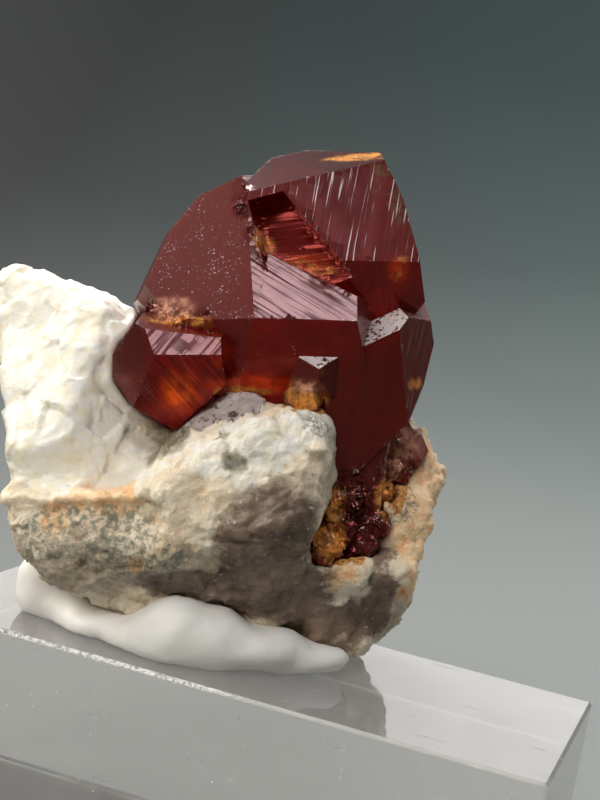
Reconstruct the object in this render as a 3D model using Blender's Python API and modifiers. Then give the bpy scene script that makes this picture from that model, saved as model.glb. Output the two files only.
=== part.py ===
"""Garnet crystals grown on a feldspar and smoky quartz matrix.

The rock is set in white putty on a clear acrylic block.  Four pieces, one body:
acrylic_base, mounting_putty, matrix and garnet_cluster.

Frame: metres, +Z up, origin at the middle of the block's underside, the good
face of the specimen towards -Y.  All sizes below are in millimetres; the
pieces are modelled in millimetres and turned into metres by MM at the end.

The specimen has its own upright axes: X right, Y to the back, Z up, zero where
the big crystals meet the rock.  A flat face is written (turn, tilt, reach):
turn is the way it looks round Z (0 is the front, + is to the right), tilt is
how far it looks up, reach is its distance from the middle of its own crystal.
"""

import math

import bmesh
import bpy
from mathutils import Euler, Matrix, Vector, noise

MM = 0.001

# clear acrylic block
BASE_WIDTH = 32.0
BASE_DEPTH = 14.5
BASE_HEIGHT = 10.0
BASE_EDGE = 0.15

# how the specimen is set on the block
SPECIMEN_TURN = 17.0
SPECIMEN_LEAN = -7.0
SPECIMEN_ROLL = -10.4
SPECIMEN_AT = (-0.6, 0.9, 22.9)

# clearances between pieces that touch
CRYSTAL_GAP = 0.12
PUTTY_GAP = 0.08

# stock that crystals and lumps of rock are cut from
STOCK = 44.0

# the upper left part of the main crystal, with the big frosted face
LEFT_HEAD_AT = (-3.2, 0.0, 6.0)
LEFT_HEAD = (
    (-27, 18, 2.7),
    (2, 22, 3.4),
    (-27, -23, 4.1),
    (0, -31, 4.95),
    (78, 19, 2.25),
    (-80, 66, 4.55),
    (-80, 40, 4.1),
    (-80, 25, 4.0),
    (-80, -38, 4.45),
    (-55, -12, 4.2),
    (-150, 15, 5.0),
    (160, 12, 5.2),
    (180, -40, 5.4),
    (0, -90, 7.5),
)

# the front middle of the main crystal, with the bright striped face
FRONT_STEP_AT = (0.0, 0.0, 4.0)
FRONT_STEP = (
    (2, 22, 4.05),
    (0, -31, 3.9),
    (75, 5, 3.7),
    (76, 64, 2.4),
    (-90, 9, 2.0),
    (180, 0, 4.5),
    (0, -90, 4.8),
)

# the upper right part of the main crystal
RIGHT_HEAD_AT = (2.0, 1.0, 8.6)
RIGHT_HEAD = (
    (13, 27.5, 2.65),
    (13, -27, 4.4),
    (-13, 64.5, 3.2),
    (87, 24, 3.5),
    (87, 14, 3.45),
    (88, 9, 3.6),
    (91, -37, 5.55),
    (-89, 35, 5.1),
    (-96, -18, 3.7),
    (-150, 28, 4.6),
    (152, 28, 3.15),
    (180, -32, 5.2),
    (0, -90, 8.2),
)

# hollow between the three big faces
NOTCH_AT = (-0.2, -2.5, 8.0)
NOTCH = (
    (172, -20, 1.0),
    (-102, -19, 1.6),
    (96, 38, 0.9),
    (-90, 72, 2.3),
)

# the small crystal at the left, with a glowing lower face
SIDE_CRYSTAL_AT = (-6.4, 0.0, 1.5)
SIDE_CRYSTAL = (
    (4, 26, 4.05),
    (4, -29, 3.35),
    (-49, 0, 3.15),
    (-82, 36, 2.85),
    (-90, 0, 2.8),
    (-84, -35, 2.65),
    (-84, -61, 2.55),
    (93, -48, 2.35),
    (85, 5, 3.05),
    (20, 70, 2.85),
    (180, 10, 3.0),
)

# the dark crystal at the lower right that runs down into the rock
LOWER_CRYSTAL_AT = (3.5, 1.0, 0.5)
LOWER_CRYSTAL = (
    (2, -9, 3.95),
    (57, 0, 3.45),
    (-43, 55, 3.7),
    (60, 62, 4.65),
    (88, 8, 3.5),
    (86, -14, 2.6),
    (86, -22, 2.45),
    (86, -45, 2.5),
    (-86, -3, 2.6),
    (180, 8, 3.4),
    (0, -88, 6.5),
)

# small crystal whose top makes a bright ledge under the big one
LEDGE_CRYSTAL_AT = (0.9, -2.2, 1.1)
LEDGE_CRYSTAL = (
    (3, 52, 1.5),
    (-42, -12, 1.35),
    (45, -10, 1.3),
    (-5, -52, 1.25),
    (-85, 30, 1.4),
    (85, 0, 1.6),
    (180, 0, 1.5),
    (0, -90, 1.4),
)

# tongue of garnet that fills the crack in the rock
TONGUE_AT = (2.6, -0.5, -4.5)
TONGUE = (
    (4, -8, 1.6),
    (-84, -3, 1.5),
    (82, -6, 1.6),
    (80, -30, 1.95),
    (180, 0, 2.0),
    (0, -86, 3.7),
    (0, 88, 3.0),
)

# small garnets: middle, size, turn
GRAINS = (
    ((0.2, -2.7, 0.2), 0.85, 55),
    ((4.9, 0.2, -2.3), 1.0, 10),
    ((5.5, -0.3, -2.6), 0.75, 40),
    ((4.8, -0.8, -3.4), 0.7, 70),
    ((4.2, -1.3, -4.5), 0.5, 30),
    ((2.2, -2.2, -4.6), 0.8, 15),
    ((1.7, -2.4, -5.4), 0.65, 62),
    ((2.0, -2.5, -6.3), 0.65, 5),
    ((1.4, -2.6, -6.8), 0.85, 33),
    ((1.1, -2.8, -7.4), 0.6, 75),
    ((3.7, -1.7, -6.1), 0.65, 48),
    ((3.0, -2.0, -7.0), 0.8, 25),
    ((2.5, -2.0, -7.8), 0.5, 58),
)

# lumps the rock is made of: middle, then flat faces
FRONT_BLOCK_AT = (-3.0, 0.0, -5.0)
FRONT_BLOCK = (
    (-4, 14, 5.8),
    (6, -45, 5.3),
    (-50, -10, 6.6),
    (-65, 56, 4.3),
    (5, 84, 4.9),
    (60, 45, 6.6),
    (82, -6, 4.55),
    (84, -15, 4.05),
    (-90, 0, 6.0),
    (180, 0, 4.0),
    (-124, -77.5, 6.75),
)
LEFT_LOBE_AT = (-12.0, 2.0, 0.5)
LEFT_LOBE = (
    (-25, 28, 3.0),
    (-10, -15, 5.5),
    (35, 12, 3.95),
    (60, 71, 5.15),
    (-60, 72, 6.75),
    (80, 47, 5.0),
    (-105, 38, 6.75),
    (178, 52, 6.6),
    (-90, 5, 4.3),
    (-88, -13, 3.05),
    (90, 0, 6.0),
    (170, 8, 4.0),
    (-140, 5, 5.4),
    (0, -90, 6.0),
)
LEFT_FOOT_AT = (-10.0, 0.0, -7.5)
LEFT_FOOT = (
    (-12, 8, 4.8),
    (-8, -45, 3.25),
    (-88, 0, 4.4),
    (-85, -40, 2.35),
    (-85, -60, 2.15),
    (-124, -77.5, 3.05),
    (-20, 82, 3.6),
    (90, 0, 5.0),
    (180, -5, 5.0),
)
RIGHT_LOBE_AT = (4.6, 2.2, -5.5)
RIGHT_LOBE = (
    (20, 25, 3.5),
    (12, -10, 3.65),
    (90, 30, 3.6),
    (90, -27, 2.3),
    (88, 0, 2.0),
    (88, -18, 2.95),
    (88, -52, 4.7),
    (20, 78, 4.4),
    (-90, 0, 4.0),
    (180, 5, 3.4),
    (-124, -77.5, 7.35),
)
# small lump on the right shoulder, beside the little garnets
KNOB_AT = (6.2, 1.6, -4.0)
KNOB = (
    (20, 60, 1.0),
    (75, 30, 1.15),
    (88, -30, 1.1),
    (-90, 0, 2.0),
    (0, 0, 1.1),
    (180, 0, 1.5),
    (0, -80, 1.1),
)
RIGHT_FOOT_AT = (2.2, 0.6, -9.0)
RIGHT_FOOT = (
    (8, -14, 3.35),
    (8, -50, 2.05),
    (85, -12, 3.45),
    (0, 85, 1.6),
    (-90, 0, 3.5),
    (180, 0, 4.5),
    (88, -67, 3.25),
    (-124, -77.5, 3.7),
)
BACK_AT = (-4.5, 4.0, -4.5)
BACK = (
    (0, 0, 4.0),
    (90, 8, 8.6),
    (90, -38, 7.9),
    (-90, 0, 8.6),
    (-120, 25, 8.8),
    (170, 12, 4.1),
    (178, -38, 4.9),
    (-140, 40, 7.0),
    (150, 48, 6.4),
    (0, 86, 4.9),
    (-124, -77.5, 6.45),
)

# two bits of grey quartz that stand up under the big crystal
QUARTZ_AT = (-2.9, -2.0, -0.5)
QUARTZ = (
    (-6, 12, 1.15),
    (15, 68, 1.0),
    (-70, 40, 1.15),
    (75, 30, 1.25),
    (180, 0, 2.0),
    (0, -90, 1.6),
)
GREY_CHIP_AT = (-4.9, -1.0, -1.4)
GREY_CHIP = (
    (-10, 20, 1.0),
    (-20, 70, 1.0),
    (-80, 10, 1.1),
    (80, 0, 1.3),
    (180, 0, 1.8),
    (0, -90, 1.5),
)

# finish of the rock surface
ROCK_VOXEL = 0.42
ROCK_SWELL = ((3.4, 0.42), (1.3, 0.20), (0.6, 0.09))
ROCK_TRIANGLES = 4600

# soft lumps of putty: middle, half sizes
PUTTY = (
    ((-5.2, 0.9, -12.2), (5.2, 3.9, 1.3)),
    ((-5.9, -3.0, -11.1), (2.1, 2.2, 2.1)),
    ((-4.4, -2.9, -11.5), (2.1, 2.2, 1.7)),
    ((-7.6, -2.4, -11.5), (1.8, 1.9, 1.1)),
    ((-13.0, 0.7, -9.4), (1.4, 1.9, 2.0)),
    ((-11.6, 0.6, -10.2), (2.2, 2.0, 1.3)),
    ((-9.4, -0.6, -11.0), (2.8, 2.3, 1.1)),
    ((-2.3, -2.0, -12.0), (2.8, 2.4, 1.1)),
    ((0.0, -0.9, -12.7), (2.6, 2.3, 0.95)),
)
PUTTY_VOXEL = 0.36
PUTTY_SWELL = ((1.9, 0.22),)
PUTTY_SOFTENING = 10
PUTTY_TRIANGLES = 1500


def placement():
    """Where the specimen's own axes stand on the block."""
    turn = Matrix.Rotation(math.radians(SPECIMEN_TURN), 4, "Z")
    lean = Matrix.Rotation(math.radians(SPECIMEN_LEAN), 4, "X")
    roll = Matrix.Rotation(math.radians(SPECIMEN_ROLL), 4, "Y")
    return Matrix.Translation(Vector(SPECIMEN_AT)) @ turn @ lean @ roll


def look(turn, tilt):
    """Direction a face looks in."""
    a, b = math.radians(turn), math.radians(tilt)
    return Vector((math.sin(a) * math.cos(b), -math.cos(a) * math.cos(b), math.sin(b)))


def add_object(name, bm):
    """Put a finished shape in the scene."""
    mesh = bpy.data.meshes.new(name)
    bm.to_mesh(mesh)
    bm.free()
    obj = bpy.data.objects.new(name, mesh)
    bpy.context.scene.collection.objects.link(obj)
    return obj


def cut_solid(name, at, faces, grow=0.0):
    """Cut a block of stock down to its flat faces."""
    at = Vector(at)
    bm = bmesh.new()
    bmesh.ops.create_cube(bm, size=STOCK, matrix=Matrix.Translation(at))
    for turn, tilt, reach in faces:
        way = look(turn, tilt)
        geom = bm.verts[:] + bm.edges[:] + bm.faces[:]
        point = at + way * (reach + grow)
        bmesh.ops.bisect_plane(
            bm, geom=geom, dist=1e-6, plane_co=point, plane_no=way, clear_outer=True
        )
        bmesh.ops.holes_fill(bm, edges=bm.edges[:])
    bmesh.ops.recalc_face_normals(bm, faces=bm.faces[:])
    return add_object(name, bm)


def grain(name, at, size, turn, grow=0.0):
    """A small garnet: twelve rhombs, stood at its own angle."""
    spin = Euler((math.radians(turn * 0.7), math.radians(18), math.radians(turn)))
    faces = []
    for a, b in ((1, 1), (1, -1), (-1, 1), (-1, -1)):
        for axes in ((a, b, 0), (a, 0, b), (0, a, b)):
            way = Vector(axes).normalized()
            way.rotate(spin)
            flat = math.hypot(way.x, way.y)
            turn_out = math.degrees(math.atan2(way.x, -way.y))
            faces.append((turn_out, math.degrees(math.atan2(way.z, flat)), size))
    return cut_solid(name, at, faces, grow)


def bake(obj):
    """Make the modifiers' result the object's own mesh."""
    graph = bpy.context.evaluated_depsgraph_get()
    mesh = bpy.data.meshes.new_from_object(obj.evaluated_get(graph))
    obj.modifiers.clear()
    obj.data = mesh
    return obj


def combine(obj, other, operation):
    """Join another solid on, or cut it away."""
    change = obj.modifiers.new(operation.title(), "BOOLEAN")
    change.operation = operation
    change.solver = "EXACT"
    change.object = other
    bake(obj)
    bpy.data.objects.remove(other, do_unlink=True)
    return obj


def garnet_solids(grow):
    """Every garnet as a solid of its own, the big ones first."""
    big = (
        (LEFT_HEAD_AT, LEFT_HEAD),
        (FRONT_STEP_AT, FRONT_STEP),
        (SIDE_CRYSTAL_AT, SIDE_CRYSTAL),
        (LOWER_CRYSTAL_AT, LOWER_CRYSTAL),
        (LEDGE_CRYSTAL_AT, LEDGE_CRYSTAL),
        (TONGUE_AT, TONGUE),
    )
    for at, faces in big:
        yield cut_solid("crystal", at, faces, grow)
    for at, size, turn in GRAINS:
        yield grain("grain", at, size, turn, grow)


def crystals():
    """All the garnet, as one solid."""
    body = cut_solid("garnet_cluster", RIGHT_HEAD_AT, RIGHT_HEAD)
    combine(body, cut_solid("notch", NOTCH_AT, NOTCH), "DIFFERENCE")
    for solid in garnet_solids(0.0):
        combine(body, solid, "UNION")
    return body


def roughen(obj, swells):
    """Push the surface in and out with soft noise, coarse to fine."""
    bm = bmesh.new()
    bm.from_mesh(obj.data)
    bm.normal_update()
    shifts = []
    for vert in bm.verts:
        shift = 0.0
        for spacing, height in swells:
            shift += noise.noise(vert.co / spacing) * height
        shifts.append(vert.normal * shift)
    for vert, shift in zip(bm.verts, shifts):
        vert.co += shift
    bm.to_mesh(obj.data)
    bm.free()


def skin_over(obj, voxel):
    """One even skin over everything in the mesh."""
    skin = obj.modifiers.new("Skin", "REMESH")
    skin.mode = "VOXEL"
    skin.voxel_size = voxel
    bake(obj)


def melt(obj, voxel, swells, triangles, softening=0):
    """Fuse overlapping lumps, roughen them and thin the result to a light mesh."""
    skin_over(obj, voxel)
    roughen(obj, swells)
    skin_over(obj, voxel)
    if softening:
        soft = obj.modifiers.new("Soft", "SMOOTH")
        soft.iterations = softening
        bake(obj)
    count = sum(len(face.vertices) - 2 for face in obj.data.polygons)
    thin = obj.modifiers.new("Thin", "DECIMATE")
    thin.ratio = min(1.0, triangles / count)
    bake(obj)


def rock():
    """The matrix, fused from its lumps, with sockets for the crystals."""
    lumps = (
        (FRONT_BLOCK_AT, FRONT_BLOCK),
        (LEFT_LOBE_AT, LEFT_LOBE),
        (LEFT_FOOT_AT, LEFT_FOOT),
        (RIGHT_LOBE_AT, RIGHT_LOBE),
        (KNOB_AT, KNOB),
        (RIGHT_FOOT_AT, RIGHT_FOOT),
        (BACK_AT, BACK),
        (QUARTZ_AT, QUARTZ),
        (GREY_CHIP_AT, GREY_CHIP),
    )
    body = None
    for at, faces in lumps:
        lump = cut_solid("matrix", at, faces)
        body = combine(body, lump, "UNION") if body else lump
    melt(body, ROCK_VOXEL, ROCK_SWELL, ROCK_TRIANGLES)
    combine(body, cut_solid("socket", RIGHT_HEAD_AT, RIGHT_HEAD, CRYSTAL_GAP), "DIFFERENCE")
    for solid in garnet_solids(CRYSTAL_GAP):
        combine(body, solid, "DIFFERENCE")
    drop_crumbs(body)
    return body


def drop_crumbs(obj):
    """Leave only the biggest shell, without the chips the cutting broke off."""
    bm = bmesh.new()
    bm.from_mesh(obj.data)
    shells = []
    waiting = set(bm.verts)
    while waiting:
        shell, edge = set(), [waiting.pop()]
        while edge:
            vert = edge.pop()
            shell.add(vert)
            near = {link.other_vert(vert) for link in vert.link_edges} & waiting
            waiting -= near
            edge.extend(near)
        shells.append(shell)
    shells.sort(key=len)
    for shell in shells[:-1]:
        bmesh.ops.delete(bm, geom=list(shell), context="VERTS")
    bm.to_mesh(obj.data)
    bm.free()


def putty_pad():
    """Soft pad of putty, flat underneath."""
    bm = bmesh.new()
    for at, half in PUTTY:
        size = Matrix.Diagonal(Vector(half)).to_4x4()
        spot = Matrix.Translation(Vector(at))
        bmesh.ops.create_icosphere(bm, subdivisions=4, radius=1.0, matrix=spot @ size)
    pad = add_object("mounting_putty", bm)
    melt(pad, PUTTY_VOXEL, PUTTY_SWELL, PUTTY_TRIANGLES, PUTTY_SOFTENING)
    return pad


def slab(name, width, depth, low, high):
    """A square-cut block between two heights."""
    bpy.ops.mesh.primitive_cube_add(size=1.0, location=(0, 0, (low + high) / 2))
    obj = bpy.context.object
    obj.name = name
    obj.scale = (width, depth, high - low)
    bpy.ops.object.transform_apply(location=True, rotation=False, scale=True)
    return obj


def swollen(obj, by):
    """A copy of a solid with its skin pushed out."""
    copy = obj.copy()
    copy.data = obj.data.copy()
    bpy.context.scene.collection.objects.link(copy)
    push = copy.modifiers.new("Push", "DISPLACE")
    push.mid_level = 0.0
    push.strength = by
    return bake(copy)


def finish(name, colour, roughness, metallic=0.0):
    """Plain surface for one piece."""
    made = bpy.data.materials.new(name)
    made.use_nodes = True
    shader = made.node_tree.nodes["Principled BSDF"]
    shader.inputs["Base Color"].default_value = (*colour, 1.0)
    shader.inputs["Roughness"].default_value = roughness
    shader.inputs["Metallic"].default_value = metallic
    return made


def keep(obj, name, collection, material):
    """Turn a finished piece into metres, name it and file it."""
    obj.data.transform(Matrix.Scale(MM, 4))
    obj.name = name
    obj.data.name = name
    for other in list(obj.users_collection):
        other.objects.unlink(obj)
    collection.objects.link(obj)
    obj.data.materials.clear()
    obj.data.materials.append(material)
    for face in obj.data.polygons:
        face.use_smooth = False


def build():
    """Model the four pieces."""
    for obj in list(bpy.data.objects):
        bpy.data.objects.remove(obj, do_unlink=True)
    pieces = bpy.data.collections.new("garnet_in_matrix")
    bpy.context.scene.collection.children.link(pieces)

    garnet = crystals()
    matrix = rock()
    putty = putty_pad()
    combine(putty, swollen(matrix, PUTTY_GAP), "DIFFERENCE")
    drop_crumbs(putty)
    for obj in (garnet, matrix, putty):
        obj.data.transform(placement())

    top = BASE_HEIGHT + PUTTY_GAP
    combine(putty, slab("under", 60, 60, top - 20, top), "DIFFERENCE")
    base = slab("acrylic_base", BASE_WIDTH, BASE_DEPTH, 0.0, BASE_HEIGHT)
    edge = base.modifiers.new("Edge", "BEVEL")
    edge.width = BASE_EDGE
    edge.segments = 1
    bake(base)

    keep(garnet, "garnet_cluster", pieces, finish("garnet", (0.20, 0.012, 0.010), 0.18))
    keep(matrix, "matrix", pieces, finish("feldspar", (0.62, 0.55, 0.45), 0.75))
    keep(putty, "mounting_putty", pieces, finish("putty", (0.86, 0.84, 0.80), 0.60))
    keep(base, "acrylic_base", pieces, finish("acrylic", (0.80, 0.86, 0.86), 0.08))


build()
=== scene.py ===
"""Looks for the garnet specimen on its clear acrylic block.

The four CAD pieces are copied, worked over with fine detail and shown in
their place: garnet_crystals, feldspar_matrix, soft_putty and acrylic_block.
Shapes are worked in the specimen's own millimetres (X right, Y to the back,
Z up, zero where the big crystals meet the rock) and go back to metres in the
row frame.  A flat crystal face is named by (turn, tilt): turn is the way it
looks round Z, tilt is how far it looks up.
"""

import math
import random

import bmesh
import bpy
import numpy as np
from mathutils import Matrix, Vector, noise


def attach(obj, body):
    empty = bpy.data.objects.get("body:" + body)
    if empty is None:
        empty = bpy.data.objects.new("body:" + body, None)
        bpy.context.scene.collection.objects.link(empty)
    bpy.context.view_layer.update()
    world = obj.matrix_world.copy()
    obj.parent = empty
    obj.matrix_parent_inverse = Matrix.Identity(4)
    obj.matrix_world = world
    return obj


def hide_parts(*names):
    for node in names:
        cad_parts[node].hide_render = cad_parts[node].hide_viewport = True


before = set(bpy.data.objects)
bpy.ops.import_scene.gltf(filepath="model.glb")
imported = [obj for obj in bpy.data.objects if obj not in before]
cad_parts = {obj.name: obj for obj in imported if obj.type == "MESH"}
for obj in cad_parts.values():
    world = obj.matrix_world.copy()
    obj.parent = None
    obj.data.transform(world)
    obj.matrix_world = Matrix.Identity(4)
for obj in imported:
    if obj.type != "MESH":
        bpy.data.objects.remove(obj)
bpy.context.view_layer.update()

MM = 0.001

# ---------------------------------------------------------------- placement
# how the specimen stands on the block, as the CAD has it
SPECIMEN_TURN = 17.0
SPECIMEN_LEAN = -7.0
SPECIMEN_ROLL = -10.4
SPECIMEN_AT = (-0.6, 0.9, 22.9)

STAND = (
    Matrix.Translation(SPECIMEN_AT)
    @ Matrix.Rotation(math.radians(SPECIMEN_TURN), 4, "Z")
    @ Matrix.Rotation(math.radians(SPECIMEN_LEAN), 4, "X")
    @ Matrix.Rotation(math.radians(SPECIMEN_ROLL), 4, "Y")
)
TO_FRAME = Matrix.Scale(MM, 4) @ STAND
TO_SPECIMEN = TO_FRAME.inverted()


def look(turn, tilt):
    """Direction a face looks in."""
    a, b = math.radians(turn), math.radians(tilt)
    return Vector((math.sin(a) * math.cos(b), -math.cos(a) * math.cos(b), math.sin(b)))


# ------------------------------------------------------------------- camera
CAMERA_AT = (21.976, -72.946, 32.382)
CAMERA_RIGHT = (0.93416, 0.30861, 0.17917)
CAMERA_UP = (-0.20768, 0.06185, 0.97624)
CAMERA_BACK = (0.29019, -0.94918, 0.12187)
CAMERA_LENS = 70.0


def make_camera():
    data = bpy.data.cameras.new("camera")
    data.lens = CAMERA_LENS
    data.sensor_width = 36.0
    data.clip_start = 0.005
    data.clip_end = 20.0
    camera = bpy.data.objects.new("camera", data)
    bpy.context.scene.collection.objects.link(camera)
    turned = Matrix((CAMERA_RIGHT, CAMERA_UP, CAMERA_BACK)).transposed().to_4x4()
    camera.matrix_world = Matrix.Translation(Vector(CAMERA_AT) * MM) @ turned
    bpy.context.scene.camera = camera


# -------------------------------------------------------------- mesh helpers
def cad_mesh(node, matrix):
    """A CAD node's surface, closed up and moved by a matrix."""
    bm = bmesh.new()
    bm.from_mesh(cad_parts[node].data)
    bmesh.ops.transform(bm, matrix=matrix, verts=bm.verts)
    bmesh.ops.remove_doubles(bm, verts=bm.verts, dist=1e-4)
    return bm


def add_piece(name, bm, node, material, matrix):
    """Show a finished surface in place of a CAD node."""
    mesh = bpy.data.meshes.new(name)
    bm.to_mesh(mesh)
    bm.free()
    mesh.transform(matrix)
    mesh.materials.append(material)
    obj = bpy.data.objects.new(name, mesh)
    bpy.context.scene.collection.objects.link(obj)
    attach(obj, "root")
    if node:
        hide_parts(node)
    return obj


def remeshed(bm, voxel):
    """The same solid as one even skin of small faces."""
    mesh = bpy.data.meshes.new("skin")
    bm.to_mesh(mesh)
    bm.free()
    obj = bpy.data.objects.new("skin", mesh)
    bpy.context.scene.collection.objects.link(obj)
    skin = obj.modifiers.new("Skin", "REMESH")
    skin.mode = "VOXEL"
    skin.voxel_size = voxel
    graph = bpy.context.evaluated_depsgraph_get()
    made = bpy.data.meshes.new_from_object(obj.evaluated_get(graph))
    bpy.data.objects.remove(obj, do_unlink=True)
    out = bmesh.new()
    out.from_mesh(made)
    return out


def smoothstep(low, high, value):
    t = min(1.0, max(0.0, (value - low) / (high - low)))
    return t * t * (3.0 - 2.0 * t)


def soft(low, high, values):
    """The same soft step for many values at once."""
    t = np.clip((values - low) / (high - low), 0.0, 1.0)
    return t * t * (3.0 - 2.0 * t)


def blob(places, zones):
    """How far inside any of the soft ellipsoids each point lies, 0 to 1."""
    best = np.zeros(len(places))
    for at, half in zones:
        d = np.sqrt((((places - at) / half) ** 2).sum(axis=1))
        best = np.maximum(best, soft(1.3, 0.7, d))
    return best


def along_line(places, a, b, radius):
    """How close each point is to the line from a to b, 0 to 1."""
    a, b = np.array(a), np.array(b)
    way = b - a
    t = np.clip((places - a) @ way / way.dot(way), 0.0, 1.0)
    gap = np.linalg.norm(places - a - t[:, None] * way, axis=1)
    return soft(radius, radius * 0.3, gap)


def spots(bm):
    """Every vertex's place, as rows of numbers."""
    return np.array([v.co for v in bm.verts])


# ------------------------------------------------------------------- garnet
class Face:
    """A named crystal face: its growth lines, how frosted and how bright it is."""

    def __init__(self, turn, tilt, frost, lines=None, gaps=None, depth=0.018, grid=0.0,
                 fine=0.0, glint=0.0, pitted_highlight=0.0, sheen=0.08, body=0.32, dim=0.5):
        self.turn, self.tilt, self.frost = turn, tilt, frost
        self.lines, self.gaps, self.depth, self.grid = lines, gaps, depth, grid
        self.fine, self.glint, self.pitted_highlight = fine, glint, pitted_highlight
        self.sheen, self.body, self.dim = sheen, body, dim


FACES = (
    # the big frosted face, and the one under it
    Face(-27, 18, 0.90, grid=0.20, fine=0.12, sheen=0.0, body=0.09, dim=0.78),
    Face(-27, -23, 0.30, lines=(0.3, 0, -1), gaps=(0.3, 0.8), depth=0.010, fine=0.3),
    # the bright striped step and the deep red face under it
    Face(2, 22, 0.35, lines=(0.80, 0, -0.58), gaps=(0.25, 0.80), depth=0.010, fine=1.0,
         sheen=0.80, body=0.22, dim=0.6),
    Face(0, -31, 0.10, grid=0.24, fine=0.10, sheen=0.0, body=0.46, dim=0.36),
    Face(75, 5, 0.35, grid=0.3, sheen=0.15),
    # back of the hollow, with fine level steps
    Face(-8, 20, 0.15, lines=(1, 0, 0.06), gaps=(0.07, 0.22), depth=0.014, fine=0.8,
         sheen=0.0, body=0.36, dim=0.50),
    Face(78, 19, 0.20, lines=(0, 1, 0.1), gaps=(0.10, 0.3), depth=0.030, fine=0.5, dim=0.3),
    # upper right face with steep lines, and the dark one under it
    Face(13, 27.5, 0.50, lines=(0.236, 0, 0.97), gaps=(0.14, 0.75), depth=0.010, fine=0.45,
         glint=1.0, sheen=0.16, body=0.26, dim=0.50),
    Face(13, -27, 0.08, grid=0.28, fine=0.25, sheen=0.0, body=0.42, dim=0.42),
    Face(-13, 64.5, 0.14, grid=0.30, fine=0.25, sheen=0.0, body=0.18, dim=0.40),
    # side crystal
    Face(4, 26, 0.35, lines=(0.55, 0, 0.84), gaps=(0.25, 0.70), depth=0.012, fine=1.0,
         sheen=0.60, body=0.22, dim=0.6),
    Face(4, -29, 0.10, lines=(0.55, 0, -0.84), gaps=(0.14, 0.40), depth=0.008, fine=1.0,
         glint=0.08, sheen=0.0, body=0.50, dim=0.36),
    Face(-49, 0, 0.30, lines=(1, 0, 0), gaps=(0.5, 1.2), depth=0.006, fine=0.2,
         sheen=0.0, body=0.34, dim=0.45),
    # lower right crystal
    Face(2, -9, 0.18, grid=0.25, sheen=0.02, body=0.40, dim=0.42, fine=0.40),
    Face(57, 0, 0.25, lines=(0.5, 0, 0.6), gaps=(0.12, 0.35), depth=0.012, fine=0.6,
         glint=0.2, sheen=0.08, body=0.60, dim=0.75),
    # the two small white faces here are painted highlights, broken by real pits
    Face(-43, 55, 0.42, grid=0.07, pitted_highlight=1.0, sheen=1.0),
    Face(60, 62, 1.0, lines=(0.8, 0, 0.2), gaps=(0.10, 0.22), depth=0.024, fine=1.0,
         sheen=0.0, dim=0.75),
    Face(3, 52, 0.42, grid=0.07, pitted_highlight=1.0, fine=0.5, sheen=1.0),
    # broken corner under the frosted face
    Face(-55, -12, 0.5, grid=0.10, sheen=0.2),
    # right side
    Face(87, 24, 0.35, lines=(0, 0.2, 1), gaps=(0.2, 0.6), depth=0.012, fine=0.4,
         glint=0.3, sheen=0.2),
    Face(88, 9, 0.30, lines=(0, 0.2, 1), gaps=(0.2, 0.6), depth=0.012, fine=0.9,
         glint=0.4, dim=0.60),
    Face(91, -37, 0.15, lines=(0, 1, 0), gaps=(0.3, 0.9), depth=0.010, fine=0.7, dim=0.55),
    # back
    Face(-150, 15, 0.40, lines=(0.5, 0, 0.8), gaps=(0.15, 0.6), depth=0.016, fine=1.0,
         glint=0.6, sheen=0.20, dim=0.70),
    Face(160, 12, 0.25, lines=(0.3, 0, -0.9), gaps=(0.3, 0.9), depth=0.010, fine=0.9,
         glint=0.3, dim=0.65),
    Face(180, -40, 0.12, lines=(1, 0, 0), gaps=(0.3, 0.9), depth=0.008, fine=0.7, dim=0.60),
    Face(-150, 28, 0.80, grid=0.22, fine=0.7, sheen=0.25, dim=0.70),
    Face(152, 28, 0.35, lines=(0.25, 0, 1), gaps=(0.15, 0.6), depth=0.016, fine=1.0,
         glint=0.8, sheen=0.30, dim=0.65),
    Face(180, -32, 0.12, lines=(1, 0, 0.1), gaps=(0.3, 0.9), depth=0.008, fine=0.8, dim=0.60),
    Face(180, 8, 0.30, lines=(0.4, 0, 0.9), gaps=(0.2, 0.6), depth=0.014, fine=1.0,
         glint=0.5, dim=0.65),
    Face(180, 10, 0.30, lines=(0.4, 0, 0.9), gaps=(0.2, 0.6), depth=0.014, fine=1.0,
         glint=0.4, dim=0.65),
)
PLAIN_FACE = Face(0, 0, 0.30, fine=0.45, sheen=0.06, body=0.36, dim=0.52)
GROOVE = 0.035
FACE_SPREAD = 1.6

# broken and chipped edges: from, to, how wide, how deep
CHIPPED = (
    ((-2.9, -1.8, 10.4), (-2.9, -2.1, 9.3), 0.55, 0.16),
    ((-2.9, -2.1, 9.3), (-2.4, -2.8, 8.2), 0.45, 0.12),
    ((-2.4, -2.8, 8.2), (-1.8, -3.3, 7.0), 0.40, 0.12),
    ((-1.7, -3.4, 6.9), (0.0, -3.6, 5.9), 0.25, 0.06),
    ((0.0, -3.6, 5.9), (2.3, -3.8, 5.2), 0.30, 0.09),
    ((-1.9, -1.4, 9.8), (-0.4, -1.9, 10.1), 0.35, 0.10),
    ((-7.5, -0.9, 4.4), (-5.8, -2.6, 4.0), 0.75, 0.22),
    ((-5.8, -2.6, 4.0), (-4.6, -3.3, 3.8), 0.60, 0.15),
    ((-7.4, -2.6, 4.0), (-4.6, -3.7, 3.2), 0.25, 0.06),
)
EDGE_WEAR = 0.012
EDGE_STEP = 0.14
PLAIN_GRID = 0.35


def cut_across(bm, faces, across, places):
    """Cut a flat face along parallel lines square to `across`."""
    verts = {v for f in faces for v in f.verts}
    edges = {e for f in faces for e in f.edges}
    geom = list(verts) + list(edges) + list(faces)
    for place in places:
        cut = bmesh.ops.bisect_plane(
            bm, geom=geom, dist=1e-5, plane_co=across * place, plane_no=across
        )
        geom = cut["geom"]
    return [g for g in geom if isinstance(g, bmesh.types.BMFace)]


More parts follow.
